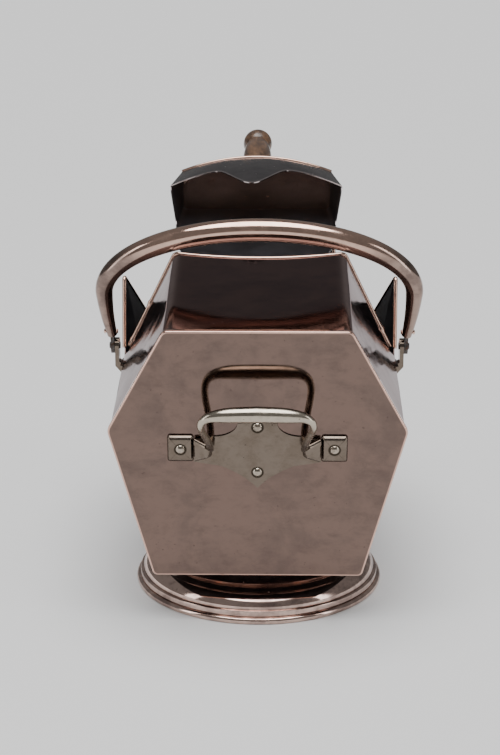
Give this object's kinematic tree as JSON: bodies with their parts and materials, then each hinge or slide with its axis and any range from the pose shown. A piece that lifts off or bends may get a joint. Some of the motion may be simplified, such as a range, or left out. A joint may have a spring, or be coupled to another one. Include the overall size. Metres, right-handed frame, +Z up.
{
  "type": "coal scuttle",
  "caption": "Six-sided copper coal scuttle with a hood over the back half, round spun foot, swinging bail, fixed tipping handle and a hooded scoop resting in its mouth.",
  "frame": {"origin": "on the ground under the middle of the round foot", "axes": "+X to the right as seen from behind, +Y towards the pouring lip, +Z up"},
  "size_m": [0.3204, 0.5908, 0.4168],
  "materials": {
    "copper": "polished copper with a worn, slightly dulled surface",
    "dark_copper": "copper darkened by coal and heat",
    "pale_brass": "polished pale brass",
    "iron": "dark wrought iron",
    "wood": "turned hardwood, dark and polished by use"
  },
  "bodies": {
    "scuttle": {"back_panel": "copper", "floor_sheet": "copper", "front_apron": "copper", "left_side": "copper", "right_side": "copper", "hood": "copper", "hood_rim_wire": "copper", "mouth_rim_wire": "copper", "foot": "copper", "foot_rim_bead": "copper", "foot_collar": "copper", "left_ear": "pale_brass", "right_ear": "pale_brass", "ear_rivets": "pale_brass", "ear_burrs": "copper", "pivot_pins": "iron", "handle_shield": "pale_brass", "tipping_handle": "pale_brass", "shield_rivets": "pale_brass", "pad_rivets": "pale_brass", "panel_burrs": "copper"},
    "bail": {"bail_tube": "copper", "left_bail_end": "iron", "right_bail_end": "iron", "bail_rivets": "copper"},
    "scoop": {"scoop_pan": "dark_copper", "scoop_back": "dark_copper", "scoop_cover": "dark_copper", "scoop_bead": "copper", "scoop_socket": "copper", "socket_rivets": "copper", "scoop_handle": "wood", "handle_pin": "iron"}
  },
  "joints": [
    {"name": "bail_swing", "type": "hinge", "parent": "scuttle", "child": "bail", "pos_m": [0, 0.03, 0.235], "axis": [1, 0, 0], "range_deg": [-60, 18]},
    {"name": "scoop_slide", "type": "slide", "parent": "scuttle", "child": "scoop", "axis": [0, 0.989, 0.1478], "range_m": [0, 0.24]}
  ]
}
